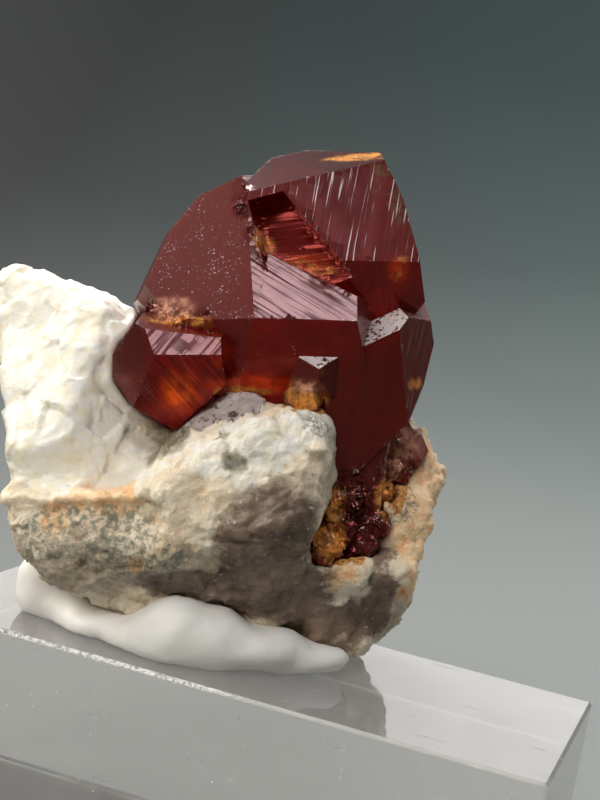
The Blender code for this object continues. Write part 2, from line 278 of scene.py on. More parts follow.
def spread_of(faces, across):
    """Where a face starts and ends in the direction `across`."""
    reach = [v.co.dot(across) for f in faces for v in f.verts]
    return min(reach), max(reach)


def even_places(faces, across, step):
    low, high = spread_of(faces, across)
    count = max(2, int((high - low) / step))
    return [low + (high - low) * (i + 0.5) / count for i in range(count)]


def groove_face(bm, faces, face, way, rng):
    """Real growth lines: narrow steps with long, slightly tilted treads."""
    along = Vector(face.lines)
    along = (along - way * along.dot(way)).normalized()
    across = way.cross(along).normalized()
    low, high = spread_of(faces, across)
    places, depths = [], []
    place = low + rng.uniform(0.02, 0.1)
    while place < high - GROOVE:
        places += [place, place + GROOVE * rng.uniform(0.7, 1.5)]
        depths += [0.0, face.depth * rng.uniform(0.2, 1.6)]
        place = places[-1] + rng.uniform(*face.gaps) * rng.uniform(0.5, 1.3)
    faces = cut_across(bm, faces, along, even_places(faces, along, 0.30))
    faces = cut_across(bm, faces, across, places)
    moved = {}
    sorted_places = np.array(places)
    for vert in {v for f in faces for v in f.verts}:
        nearest = int(np.argmin(np.abs(sorted_places - vert.co.dot(across))))
        if abs(sorted_places[nearest] - vert.co.dot(across)) < 2e-3:
            run = Vector((places[nearest] * 3.0, vert.co.dot(along) * 0.45, 0.0))
            fade = smoothstep(-0.35, 0.15, noise.noise(run))
            moved[vert] = way * -depths[nearest] * fade
    return faces, across, moved


def grid_face(bm, faces, way, step):
    """A fine net of faces, for relief that has no direction."""
    first = way.cross(Vector((0.13, 0.2, 1))).normalized()
    second = way.cross(first)
    for across in (first, second):
        faces = cut_across(bm, faces, across, even_places(faces, across, step))
    return faces


def pits(co, spacing, size):
    """Depth of small round pits scattered through space."""
    near, _ = noise.voronoi(co / spacing)
    return smoothstep(size, size * 0.4, near[0])


def make_garnet(material):
    bm = cad_mesh("garnet_cluster", TO_SPECIMEN)
    bmesh.ops.dissolve_limit(
        bm, angle_limit=math.radians(0.4), verts=bm.verts[:], edges=bm.edges[:]
    )
    bm.normal_update()
    ident = bm.faces.layers.int.new("face_id")
    found = {}
    for number, face in enumerate(FACES, start=1):
        way = look(face.turn, face.tilt)
        for f in bm.faces:
            if f[ident] == 0 and f.normal.angle(way) < math.radians(FACE_SPREAD):
                f[ident] = number
                found.setdefault(number, []).append(f)
    rng = random.Random(7)
    across_of, way_of, shifts = {}, {}, {}
    rest = [f for f in bm.faces if f[ident] == 0]
    for number, group in found.items():
        face = FACES[number - 1]
        way = group[0].normal.copy()
        across_of[number] = way.cross(Vector((0.3, 0.1, 1))).normalized()
        way_of[number] = way
        for single in group:
            if single.calc_area() < 0.15:
                continue
            if face.lines:
                _, across, moved = groove_face(bm, [single], face, way, rng)
                across_of[number] = across
                shifts.update(moved)
            elif face.grid:
                grid_face(bm, [single], way, face.grid)
    for single in rest:
        middle = np.array([single.calc_center_median()])
        crumbly = blob(middle, VEIN)[0] > 0.05
        if single.calc_area() > (0.05 if crumbly else 1.0):
            grid_face(bm, [single], single.normal.copy(), VEIN_GRID if crumbly else PLAIN_GRID)
    for vert, shift in shifts.items():
        if vert.is_valid:
            vert.co += shift

    wear_edges(bm, ident)
    relief(bm, ident)
    bmesh.ops.triangulate(bm, faces=bm.faces[:], quad_method="BEAUTY", ngon_method="BEAUTY")
    bm.normal_update()
    ids = [f[ident] for f in bm.faces]
    chips = [edge_chips(v) for v in bm.verts]
    places = spots(bm)
    obj = add_piece("garnet_crystals", bm, "garnet_cluster", material, TO_FRAME)
    mesh = obj.data
    face_values(mesh, ids, across_of, way_of)
    point_values(mesh, "chip", chips)
    for name, zones in (("amber_and_glow", AMBER_AND_GLOW), ("ember", EMBER), ("broken", BROKEN),
                        ("brown", BROWN), ("olive", OLIVE_FLECKS), ("glow", GLOW)):
        point_values(mesh, name, blob(places, zones))
    mesh.shade_smooth()
    mesh.set_sharp_from_angle(angle=math.radians(SHARP_TURN))
    return obj


SHARP_TURN = 3.5
# orange places: partly the garnet's own orange and honey grains, partly painted glow where light would
# come through thin, cracked garnet, and a painted orange highlight band on the top face
AMBER_AND_GLOW = (
    ((-1.9, -2.9, 7.9), (0.35, 0.6, 0.7)),
    ((-1.7, -1.8, 7.6), (0.5, 0.8, 0.7)),
    ((-0.4, -2.0, 6.6), (0.9, 0.6, 0.35)),
    ((0.9, -2.2, 6.3), (0.9, 0.6, 0.25)),
    ((5.1, -2.4, 6.9), (0.35, 0.4, 0.20)),
    ((4.7, -2.0, 6.0), (0.25, 0.5, 0.25)),
    ((-6.3, -2.2, 3.95), (1.5, 1.2, 0.28)),
    ((-4.9, -3.2, 3.75), (0.8, 0.8, 0.22)),
    ((0.2, -3.2, 0.0), (1.1, 1.0, 0.60)),
    ((-2.9, -2.8, 0.40), (1.6, 1.0, 0.22)),
    ((-0.3, -3.4, 0.5), (0.7, 0.9, 0.5)),
    ((5.6, -2.2, 0.8), (0.4, 1.2, 0.25)),
    ((1.4, -3.4, -6.9), (1.0, 1.2, 1.1)),
    ((1.6, -2.8, -5.0), (0.7, 0.9, 0.9)),
    ((4.2, -1.6, -4.8), (0.6, 0.9, 1.2)),
    ((1.0, -3.5, 1.4), (0.35, 0.5, 0.25)),
    ((2.9, 1.0, 12.5), (2.4, 0.8, 0.5)),
)
# painted glow: red-orange colour where light would shine through clear garnet, with less light let
# through
EMBER = (
    ((-5.7, -3.4, 0.25), (1.05, 1.5, 1.25)),
    ((-2.4, -2.8, 0.7), (2.6, 1.2, 0.5)),
    ((-4.0, -2.8, 2.2), (0.5, 1.2, 1.0)),
    ((0.4, -2.0, 6.7), (1.1, 0.6, 0.5)),
    ((4.8, -2.4, 6.3), (0.5, 0.8, 0.7)),
)
# painted glow: the brightest, inside the small crystal, bright orange with little light let through
GLOW = (
    ((-5.7, -3.4, 0.35), (0.75, 1.2, 0.95)),
)
# crushed, pinkish places
BROKEN = (
    ((-6.3, -2.0, 4.5), (1.7, 1.2, 0.55)),
    ((5.0, -0.9, -2.0), (1.1, 1.0, 1.2)),
    ((4.4, -1.3, -3.2), (0.7, 0.8, 0.7)),
    ((0.2, -3.4, 0.7), (0.8, 0.8, 0.35)),
)
# iron-stained brown
BROWN = (
    ((3.2, -2.6, -0.4), (3.2, 2.4, 3.0)),
    ((2.9, -2.3, -4.6), (1.6, 1.6, 3.6)),
    ((5.8, -1.4, 2.4), (1.2, 2.4, 3.2)),
    ((-8.6, -2.6, 1.6), (1.4, 2.4, 3.0)),
)
OLIVE_FLECKS = (
    ((4.5, -0.3, 10.8), (1.0, 1.2, 1.9)),
    ((5.2, -0.6, 8.6), (0.7, 1.0, 1.4)),
)
# the granular foot of the vein
VEIN = (
    ((2.2, -2.8, -6.2), (2.3, 1.8, 2.8)),
    ((4.6, -1.2, -3.6), (1.0, 1.4, 1.6)),
)
VEIN_GRID = 0.13


def wear_edges(bm, ident):
    """Break long sharp edges into short lengths and nibble at them."""
    sharp = [
        e for e in bm.edges
        if len(e.link_faces) == 2 and e.calc_face_angle() > math.radians(14)
        and e.link_faces[0][ident] != e.link_faces[1][ident]
    ]
    for edge in sharp:
        parts = int(edge.calc_length() / EDGE_STEP)
        if parts > 1:
            bmesh.ops.subdivide_edges(bm, edges=[edge], cuts=parts - 1)
    bm.normal_update()
    moves = []
    for edge in bm.edges:
        if len(edge.link_faces) != 2 or edge.calc_face_angle() < math.radians(14):
            continue
        if edge.link_faces[0][ident] == edge.link_faces[1][ident]:
            continue
        for vert in edge.verts:
            moves.append(vert)
    for vert in set(moves):
        bite = 0.5 + 0.5 * noise.noise(vert.co / 0.22)
        vert.co -= vert.normal * (EDGE_WEAR * bite * bite)


def relief(bm, ident):
    """Faint waves on every face, pits on the frosted ones, rubble where it broke."""
    bm.normal_update()
    places = spots(bm)
    chipped = [(deep, along_line(places, a, b, radius)) for a, b, radius, deep in CHIPPED]
    vein = blob(places, VEIN)
    moves = []
    for i, vert in enumerate(bm.verts):
        co = vert.co
        numbers = {f[ident] for f in vert.link_faces}
        shift = 0.0
        if len(numbers) == 1:
            shift = noise.noise(co / 2.2) * 0.010 + noise.noise(co / 0.7) * 0.002
            pitted_highlight = max((FACES[n - 1].pitted_highlight for n in numbers if n), default=0.0)
            if pitted_highlight:
                shift -= pits(co, 0.32, 0.3) * 0.05
                shift += noise.noise(co / 0.16) * 0.022
        for deep, near in chipped:
            if near[i] > 0.0:
                cell = noise.cell(co / 0.17)
                rough = noise.noise(co / 0.28) + 0.6 * noise.noise(co / 0.13)
                shift -= near[i] * deep * (0.35 + 0.4 * cell + 0.5 * rough)
        if vein[i] > 0.0:
            grain = abs(noise.noise(co / 0.45)) + 0.6 * noise.cell(co / 0.21)
            shift += vein[i] * (0.20 * grain - 0.10)
        if shift:
            moves.append((vert, vert.normal * shift))
    for vert, move in moves:
        vert.co += move


def edge_chips(vert):
    """Pale, scattering material along sharp edges, 0 to 1."""
    sharpest = 0.0
    for edge in vert.link_edges:
        if len(edge.link_faces) == 2:
            sharpest = max(sharpest, edge.calc_face_angle())
    edge = smoothstep(math.radians(16), math.radians(40), sharpest)
    return edge * smoothstep(-0.05, 0.30, noise.noise(vert.co / 0.6))


def face_values(mesh, ids, across_of, way_of):
    """Store what each face is like, and which way its lines run, for the shader."""
    faces = [FACES[number - 1] if number else PLAIN_FACE for number in ids]
    for name in ("frost", "fine", "glint", "pitted_highlight", "sheen", "body", "dim"):
        layer = mesh.attributes.new(name, "FLOAT", "FACE")
        layer.data.foreach_set("value", [getattr(face, name) for face in faces])
    turn = TO_FRAME.to_3x3() * 1000.0
    side, up = Vector((1, 0, 0)), Vector((0, 0, 1))
    across = [turn @ across_of.get(number, side) for number in ids]
    along = [turn @ (way_of[n].cross(across_of[n]) if n else up) for n in ids]
    for name, ways in (("across", across), ("along", along)):
        layer = mesh.attributes.new(name, "FLOAT_VECTOR", "FACE")
        layer.data.foreach_set("vector", np.array(ways, np.float32).ravel())


def point_values(mesh, name, values):
    layer = mesh.attributes.new(name, "FLOAT", "POINT")
    layer.data.foreach_set("value", np.array(values, np.float32))


# ------------------------------------------------------------------- matrix
MATRIX_VOXEL = 0.137
SMOKE = (
    ((-1.4, -5.6, -6.6), (2.5, 2.6, 2.6)),
    ((-1.4, -3.6, -9.2), (3.2, 2.6, 2.2)),
    ((-5.7, -4.4, -8.8), (2.6, 1.4, 1.0)),
    ((1.4, -1.6, -11.2), (2.8, 2.4, 1.4)),
    ((3.9, -1.4, -9.4), (0.8, 1.8, 2.6)),
    ((2.0, 7.0, -7.5), (3.0, 2.4, 2.8)),
    ((-10.0, 8.2, -7.5), (2.4, 2.2, 2.0)),
    ((-4.0, 7.6, -9.5), (3.5, 2.6, 1.6)),
)
DUSK = (
    ((-10.6, -3.6, -7.6), (4.2, 2.2, 1.9)),
    ((-1.4, -5.2, -4.6), (2.0, 1.6, 0.9)),
    ((-5.6, -4.6, -8.0), (2.6, 1.6, 1.2)),
    ((5.0, -1.2, -10.6), (2.4, 2.6, 1.6)),
    ((0.5, -5.4, -4.6), (1.4, 1.6, 1.6)),
    ((-4.0, 8.0, -6.2), (6.5, 2.6, 2.4)),
    ((-15.2, 3.0, -5.0), (1.6, 3.0, 3.0)),
)
SPECKLE = (
    ((-11.2, -4.2, -6.3), (2.2, 1.6, 1.4)),
    ((-8.4, -4.9, -6.8), (2.3, 1.6, 1.8)),
    ((-6.6, -5.2, -7.2), (1.2, 1.2, 1.0)),
    ((0.9, -4.8, -1.4), (0.9, 1.0, 0.9)),
    ((5.2, -1.4, -5.2), (1.0, 1.0, 0.9)),
    ((-6.6, -2.1, -2.6), (0.9, 1.4, 1.3)),
    ((-5.0, 8.0, -4.0), (3.0, 2.0, 2.0)),
    ((3.4, 6.6, -3.2), (1.8, 1.8, 1.4)),
    ((-11.5, 9.0, -5.0), (2.2, 2.0, 1.6)),
    ((-13.4, 4.0, -4.0), (1.6, 2.4, 1.8)),
)
PEACH = (
    ((-9.2, -4.6, -4.3), (1.9, 1.9, 1.2)),
    ((-11.6, -4.2, -5.6), (1.0, 1.0, 0.9)),
    ((6.6, -0.4, -3.6), (2.2, 2.8, 2.6)),
    ((5.6, -1.2, -7.6), (1.3, 1.8, 2.2)),
    ((1.6, -2.4, -8.4), (1.2, 1.6, 0.6)),
    ((-8.0, 8.2, -2.0), (2.2, 1.8, 1.4)),
    ((0.0, 7.2, -4.4), (1.8, 1.6, 1.2)),
    ((-7.3, -4.6, -7.6), (0.7, 0.8, 0.5)),
)
# olive-green spots, and dark olive painted shade down the valley between the left lobe and the front
# block
OLIVE_AND_VALLEY_SHADE = (
    ((-6.5, -2.2, -2.0), (1.4, 2.0, 1.6)),
    ((-3.2, -5.3, -2.9), (0.6, 0.8, 0.5)),
    ((-3.6, -5.0, -1.6), (0.35, 0.6, 0.3)),
    ((-2.0, 7.4, -1.8), (1.0, 1.2, 0.8)),
)
MICA = (
    ((-3.3, -2.6, -0.4), (1.4, 1.6, 1.1)),
    ((-4.9, -2.2, -0.9), (0.9, 1.4, 0.8)),
)
HONEY = (
    ((2.0, -2.6, -6.4), (1.4, 1.4, 1.6)),
    ((4.5, -1.2, -4.0), (1.0, 1.2, 1.8)),
    ((0.4, -3.2, -0.2), (1.4, 0.9, 0.5)),
)
SNOW = (
    ((-12.6, 2.2, 1.0), (5.6, 6.2, 7.0)),
    ((-9.4, -2.6, -2.6), (4.8, 2.8, 2.2)),
    ((-2.6, -5.0, -2.4), (2.6, 2.2, 1.5)),
    ((0.2, -4.6, -1.2), (1.6, 1.8, 1.3)),
)
GLASSY = (
    ((-12.6, 2.2, 1.0), (5.6, 6.2, 7.0)),
    ((-10.4, -2.0, -2.4), (3.8, 3.0, 2.4)),
)
SNUG = 0.10


def plates(co, spacing, slope):
    """Flat cleavage plates, each at its own tilt."""
    _, points = noise.voronoi(co / spacing)
    tilt = noise.noise_vector(points[0] * 13.7)
    return (co - points[0] * spacing).dot(tilt) * slope


def rock_shift(co, smoke, mica, glassy):
    """How far the rock's surface stands out at a point."""
    grain = 1.0 - 0.85 * max(smoke, mica, glassy)
    shift = plates(co, 2.1, 0.26)
    shift += plates(co, 0.85, 0.42) * (1.0 - 0.7 * glassy)
    shift += plates(co, 0.42, 0.55) * (0.50 - 0.4 * glassy)
    shift += noise.noise(co / 0.9) * 0.10
    shift += abs(noise.noise(co / 0.5)) * 0.11 * grain
    shift += noise.noise(co / 0.28) * 0.055 * grain
    shift -= pits(co, 0.9, 0.24) * 0.16 * grain
    shift -= pits(co, 0.55, 0.3) * 0.14 * mica
    if co.x < -6.5 and co.y < 0.5:
        under = co.z - LEDGE_HEIGHT - 0.35 * noise.noise(co / 1.1)
        shift -= LEDGE_STEP * smoothstep(0.05, -0.15, under) * smoothstep(-2.4, -0.6, under)
    return shift


LEDGE_HEIGHT = -4.75
LEDGE_STEP = 0.34


def make_matrix(material, garnet_tree):
    bm = remeshed(cad_mesh("matrix", TO_SPECIMEN), MATRIX_VOXEL)
    bmesh.ops.smooth_vert(bm, verts=bm.verts, factor=0.5, use_axis_x=True,
                          use_axis_y=True, use_axis_z=True)
    bm.normal_update()
    places = spots(bm)
    smoke, mica = blob(places, SMOKE), blob(places, MICA)
    glassy = soft(0.0, 0.5, blob(places, GLASSY))
    moves = []
    for i, vert in enumerate(bm.verts):
        co = vert.co
        shift = rock_shift(co, smoke[i], mica[i], glassy[i])
        _, _, _, gap = garnet_tree.find_nearest(co, 0.9)
        if gap is not None:
            hug = smoothstep(0.6, 0.2, gap)
            shift = shift * (1.0 - 0.75 * hug) + SNUG * hug
        moves.append((vert, vert.normal * shift))
    for vert, move in moves:
        vert.co += move
    places = [v.co.copy() for v in bm.verts]
    obj = add_piece("feldspar_matrix", bm, "matrix", material, TO_FRAME)
    warped = np.array([co + noise.noise_vector(co / 1.3) * 0.55
                       + noise.noise_vector(co / 0.4) * 0.2 for co in places])
    for name, zones in (("smoke", SMOKE), ("dusk", DUSK), ("speckle", SPECKLE), ("peach", PEACH),
                        ("olive", OLIVE_AND_VALLEY_SHADE), ("mica", MICA), ("honey", HONEY), ("snow", SNOW),
                        ("glassy", GLASSY)):
        point_values(obj.data, name, blob(warped, zones))
    obj.data.shade_smooth()
    return obj


# ---------------------------------------------------------- putty and block
def make_putty(material):
    bm = remeshed(cad_mesh("mounting_putty", TO_SPECIMEN), 0.16)
    for _ in range(4):
        bmesh.ops.smooth_vert(bm, verts=bm.verts, factor=0.5, use_axis_x=True,
                              use_axis_y=True, use_axis_z=True)
    bm.normal_update()
    moves = []
    for vert in bm.verts:
        co = vert.co
        shift = noise.noise(co / 1.4) * 0.10 + noise.noise(co / 0.5) * 0.03
        moves.append((vert, vert.normal * shift))
    for vert, move in moves:
        vert.co += move
    obj = add_piece("soft_putty", bm, "mounting_putty", material, TO_FRAME)
    obj.data.shade_smooth()
    return obj


SAWN_TO = 3.5
SAWN_STEP = 0.11
SAWN_WIDE = 0.24
SAWN_DEEP = 0.12


def make_block(material):
    """The block, with the rough sawn stretch of its top front edge."""
    bm = cad_mesh("acrylic_base", Matrix.Scale(1.0 / MM, 4))
    bmesh.ops.dissolve_limit(
        bm, angle_limit=math.radians(0.4), verts=bm.verts[:], edges=bm.edges[:]
    )
    high = max(v.co.z for v in bm.verts)
    front = min(v.co.y for v in bm.verts)
    left = min(v.co.x for v in bm.verts)
    bm.normal_update()
    near = [f for f in bm.faces if f.normal.x * f.normal.x < 0.01
            and (f.normal.z > 0.9 or f.normal.y < -0.9 or f.normal.y * f.normal.z < -0.1)
            and max(v.co.z for v in f.verts) > high - 0.3
            and min(v.co.y for v in f.verts) < front + 0.3]
    rows = [SAWN_WIDE * (i + 1) / 3 for i in range(3)]
    near = cut_across(bm, near, Vector((0, 1, 0)), [front + row for row in rows])
    near = cut_across(bm, near, Vector((0, 0, 1)), [high - row for row in rows])
    strips = [f for f in near if f.calc_center_median().z > high - SAWN_WIDE
              and f.calc_center_median().y < front + SAWN_WIDE]
    count = int((SAWN_TO - left) / SAWN_STEP)
    cut_across(bm, strips, Vector((1, 0, 0)),
               [left + 0.3 + SAWN_STEP * i for i in range(count)])
    inward = Vector((0, 1, -1)).normalized()
    edge = Vector((0.0, front, high))
    sawn = {}
    for vert in bm.verts:
        away = max(abs(vert.co.y - edge.y), abs(vert.co.z - edge.z))
        if away < SAWN_WIDE - 0.01 and left + 0.25 < vert.co.x < SAWN_TO:
            bite = abs(noise.noise(vert.co / 0.17)) + 0.5 * noise.noise(vert.co / 0.4)
            fade = smoothstep(SAWN_TO, SAWN_TO - 5.0, vert.co.x)
            share = smoothstep(SAWN_WIDE, 0.0, away) * max(0.0, fade)
            vert.co += inward * SAWN_DEEP * share * max(0.0, 0.3 + bite)
            sawn[vert.index] = share
    bmesh.ops.triangulate(bm, faces=bm.faces[:])
    values = [smoothstep(SAWN_WIDE, 0.1, max(abs(v.co.y - edge.y), abs(v.co.z - edge.z)))
              * smoothstep(SAWN_TO, SAWN_TO - 5.0, v.co.x) for v in bm.verts]
    obj = add_piece("acrylic_block", bm, "acrylic_base", material,
                    Matrix.Scale(MM, 4))
    point_values(obj.data, "sawn", values)
    return obj


# ---------------------------------------------------------------- materials
def new_material(name):
    made = bpy.data.materials.new(name)
    made.use_nodes = True
    tree = made.node_tree
    return made, tree, tree.nodes["Principled BSDF"]


def node(tree, kind, inputs=None, **settings):
    made = tree.nodes.new(kind)
    for key, value in settings.items():
        setattr(made, key, value)
    for key, value in (inputs or {}).items():
        socket = made.inputs[key]
        if isinstance(value, bpy.types.NodeSocket):
            tree.links.new(value, socket)
        else:
            socket.default_value = value
    return made


def maths(tree, operation, *values, clamp=False):
    made = tree.nodes.new("ShaderNodeMath")
    made.operation = operation
    made.use_clamp = clamp
    for socket, value in zip(made.inputs, values):
        if isinstance(value, bpy.types.NodeSocket):
            tree.links.new(value, socket)
        else:
            socket.default_value = value
    return made.outputs[0]


def value_of(tree, name):
    """A number stored on the mesh."""
    return node(tree, "ShaderNodeAttribute", attribute_name=name).outputs["Fac"]


def mix(tree, share, first, second, kind="MIX"):
    """Blend two colours."""
    made = tree.nodes.new("ShaderNodeMix")
    made.data_type = "RGBA"
    made.blend_type = kind
    for socket, value in ((made.inputs[0], share), (made.inputs[6], first), (made.inputs[7], second)):
        if isinstance(value, bpy.types.NodeSocket):
            tree.links.new(value, socket)
        elif isinstance(value, tuple):
            socket.default_value = (*value, 1.0)
        else:
            socket.default_value = value
    return made.outputs[2]


def ramp(tree, value, low, high, to_low=0.0, to_high=1.0):
    return node(tree, "ShaderNodeMapRange", {
        "Value": value, "From Min": low, "From Max": high,
        "To Min": to_low, "To Max": to_high,
    }, clamp=True).outputs[0]


def noise_of(tree, coords, per_mm, detail=3.0, rough=0.55):
    return node(tree, "ShaderNodeTexNoise", {
        "Vector": coords, "Scale": per_mm / MM, "Detail": detail, "Roughness": rough,
    }).outputs["Fac"]


def cells_of(tree, coords, per_mm, feature="F1"):
    return node(tree, "ShaderNodeTexVoronoi", {
        "Vector": coords, "Scale": per_mm / MM,
    }, feature=feature)


def bump(tree, height, distance, strength=1.0, before=None):
    inputs = {"Height": height, "Distance": distance * MM, "Strength": strength}
    if before:
        inputs["Normal"] = before
    return node(tree, "ShaderNodeBump", inputs).outputs[0]


GARNET_DEEP = (0.50, 0.014, 0.012)
GARNET_BROWN = (0.15, 0.022, 0.014)
# painted glow colours: red, and bright orange
GARNET_EMBER = (0.90, 0.075, 0.012)
GARNET_GLOW = (1.0, 0.13, 0.01)
GARNET_AMBER_AND_GLOW = (1.0, 0.42, 0.09)
GARNET_ROSE = (0.80, 0.42, 0.28)
GARNET_WHITE = (0.95, 0.88, 0.90)
GARNET_OLIVE = (0.26, 0.15, 0.05)
GARNET_GLOSS = (0.75, 0.14, 0.13)
GARNET_ABSORB = (0.86, 0.30, 0.04)
GARNET_DENSITY = 900.0


def garnet_material():
    made, tree, shader = new_material("garnet")
    coords = node(tree, "ShaderNodeTexCoord").outputs["Object"]
    face = {name: value_of(tree, name) for name in
            ("frost", "fine", "glint", "pitted_highlight", "sheen", "body", "dim")}
    spot = {name: value_of(tree, name) for name in
            ("chip", "amber_and_glow", "ember", "broken", "brown", "olive", "glow")}

    def times(*values):
        out = values[0]
        for value in values[1:]:
            out = maths(tree, "MULTIPLY", out, value)
        return out

    def plus(first, second):
        return maths(tree, "ADD", first, second)

    def without(share):
        return maths(tree, "SUBTRACT", 1.0, share, clamp=True)

    # fine growth lines: stretched noise laid along each face's own direction; their dark lines are
    # painted shade of the growth steps
    flat = []
    for name in ("across", "along"):
        way = node(tree, "ShaderNodeAttribute", attribute_name=name).outputs["Vector"]
        flat.append(node(tree, "ShaderNodeVectorMath", {0: coords, 1: way},
                         operation="DOT_PRODUCT").outputs["Value"])
    stretched = node(tree, "ShaderNodeCombineXYZ", {
        "X": times(flat[0], 1.0), "Y": times(flat[1], 0.03)}).outputs[0]
    lines = noise_of(tree, stretched, 4.2, 2.0, 0.6)
    hairs = noise_of(tree, stretched, 9.5, 1.0, 0.5)
    shifted = node(tree, "ShaderNodeVectorMath", {0: stretched, 1: (0.4, 0.2, 0.0)}).outputs[0]
    whiskers = noise_of(tree, shifted, 9.0, 1.5, 0.6)
    line_shade = maths(tree, "MAXIMUM", ramp(tree, lines, 0.57, 0.595),
                      ramp(tree, hairs, 0.55, 0.62, 0.0, 0.7))
    line_shade = times(line_shade, face["fine"])
    # painted glints: bright lines, laid white into the colour and given more coat
    painted_glints = times(ramp(tree, whiskers, 0.62, 0.68), face["glint"])

    cloud = noise_of(tree, coords, 0.35, 3.0)
    wander = node(tree, "ShaderNodeTexNoise", {
        "Vector": coords, "Scale": 0.6 / MM, "Detail": 3.0, "Roughness": 0.6,
    }).outputs["Color"]
    cracked = node(tree, "ShaderNodeVectorMath", {0: wander, 1: (0.003, 0.003, 0.003), 2: coords},
                   operation="MULTIPLY_ADD").outputs[0]
    blotch = noise_of(tree, coords, 1.1, 4.0, 0.6)
    grains = noise_of(tree, coords, 6.0, 4.0, 0.7)
    dots = noise_of(tree, coords, 9.0, 1.0, 0.5)
    where = maths(tree, "MULTIPLY_ADD", blotch, 0.5, dots)
    specks = times(ramp(tree, where, 0.925, 0.98), ramp(tree, face["frost"], 0.6, 0.9), 0.55)
    pit = ramp(tree, noise_of(tree, coords, 4.0, 2.0, 0.6), 0.56, 0.60)

    deep = tuple(0.42 * c for c in GARNET_DEEP)
    colour = mix(tree, ramp(tree, cloud, 0.36, 0.62), deep, GARNET_DEEP)
    # fracture lines in the clear faces, painted with a red glow
    crack_glow = cells_of(tree, cracked, 0.42, "DISTANCE_TO_EDGE").outputs["Distance"]
    crack_glow = times(ramp(tree, crack_glow, 0.050, 0.008), ramp(tree, blotch, 0.44, 0.54),
                   without(face["frost"]), 0.30)
    colour = mix(tree, crack_glow, colour, GARNET_EMBER)
    brown = plus(face["dim"], times(spot["brown"], 0.5))
    brown = times(brown, ramp(tree, blotch, 0.3, 0.7, 0.8, 1.2))
    colour = mix(tree, brown, colour, GARNET_BROWN)
    # painted glow in the clear places
    ember = times(spot["ember"], ramp(tree, blotch, 0.30, 0.60, 0.35, 1.0))
    colour = mix(tree, ember, colour, GARNET_EMBER)
    # painted glow in the small crystal
    glow = times(spot["glow"], ramp(tree, blotch, 0.34, 0.56, 0.3, 1.0))
    colour = mix(tree, glow, colour, GARNET_GLOW)
    # orange places: own honey-orange colour mixed with painted glow
    amber_and_glow = times(spot["amber_and_glow"], ramp(tree, blotch, 0.36, 0.56, 0.25, 1.2))
    honey = mix(tree, ramp(tree, grains, 0.36, 0.56), tuple(0.50 * c for c in GARNET_AMBER_AND_GLOW),
                GARNET_AMBER_AND_GLOW)
    colour = mix(tree, ramp(tree, amber_and_glow, 0.10, 0.75), colour, honey)
    olive = times(spot["olive"], ramp(tree, blotch, 0.46, 0.56), 0.8)
    colour = mix(tree, olive, colour, GARNET_OLIVE)
    broken = times(spot["broken"], ramp(tree, blotch, 0.36, 0.56, 0.35, 1.0))
    colour = mix(tree, broken, colour, GARNET_ROSE)
    # painted highlight: the small faces that catch the light, white but for their pits
    white = times(face["pitted_highlight"], without(pit), ramp(tree, grains, 0.30, 0.50, 0.8, 1.0))
    nicks = times(ramp(tree, spot["chip"], 0.55, 1.0), ramp(tree, dots, 0.58, 0.64), 0.7)
    # lighter marks: real specks and chipped edges, and the painted highlights and glints
    light = maths(tree, "MAXIMUM", white, specks)
    light = maths(tree, "MAXIMUM", light, nicks)
    light = maths(tree, "MAXIMUM", light, times(painted_glints, 0.8))
    colour = mix(tree, light, colour, GARNET_WHITE)
    # painted shade: the growth lines darkened, except on the lighter marks
    colour = mix(tree, times(line_shade, 0.55, without(light)), colour, (0.05, 0.004, 0.004))
    tree.links.new(colour, shader.inputs["Base Color"])

    rough = maths(tree, "MULTIPLY_ADD", face["frost"], 0.48, 0.05)
    rough = plus(rough, times(line_shade, face["sheen"], 0.6))
    tree.links.new(plus(rough, times(grains, 0.06)), shader.inputs["Roughness"])
    solid = maths(tree, "MAXIMUM", face["body"], times(light, 0.9))
    solid = maths(tree, "MAXIMUM", solid, times(broken, 0.8))
    # the orange and glow patches below let little light through, so their painted colour shows
    solid = maths(tree, "MAXIMUM", solid, times(amber_and_glow, 0.70))
    solid = maths(tree, "MAXIMUM", solid, times(ember, 0.60))
    solid = maths(tree, "MAXIMUM", solid, times(glow, 0.90))
    tree.links.new(without(solid), shader.inputs["Transmission Weight"])
    shader.inputs["IOR"].default_value = 1.78
    shader.inputs["Specular Tint"].default_value = (*GARNET_GLOSS, 1.0)
    sheen = times(face["sheen"], without(times(line_shade, 0.9)))
    sheen = times(sheen, without(times(face["pitted_highlight"], pit)))
    sheen = maths(tree, "ADD", sheen, times(painted_glints, 0.6), clamp=True)
    tree.links.new(sheen, shader.inputs["Coat Weight"])
    shader.inputs["Coat IOR"].default_value = 1.9
    shader.inputs["Coat Roughness"].default_value = 0.30

    normal = bump(tree, times(lines, face["fine"]), 0.020, 0.8)
    normal = bump(tree, times(grains, face["frost"]), 0.012, 0.8, normal)
    tree.links.new(normal, shader.inputs["Normal"])

    inside = node(tree, "ShaderNodeVolumeAbsorption", {
        "Color": (*GARNET_ABSORB, 1.0), "Density": GARNET_DENSITY,
    })
    tree.links.new(inside.outputs[0], tree.nodes["Material Output"].inputs["Volume"])
    return made


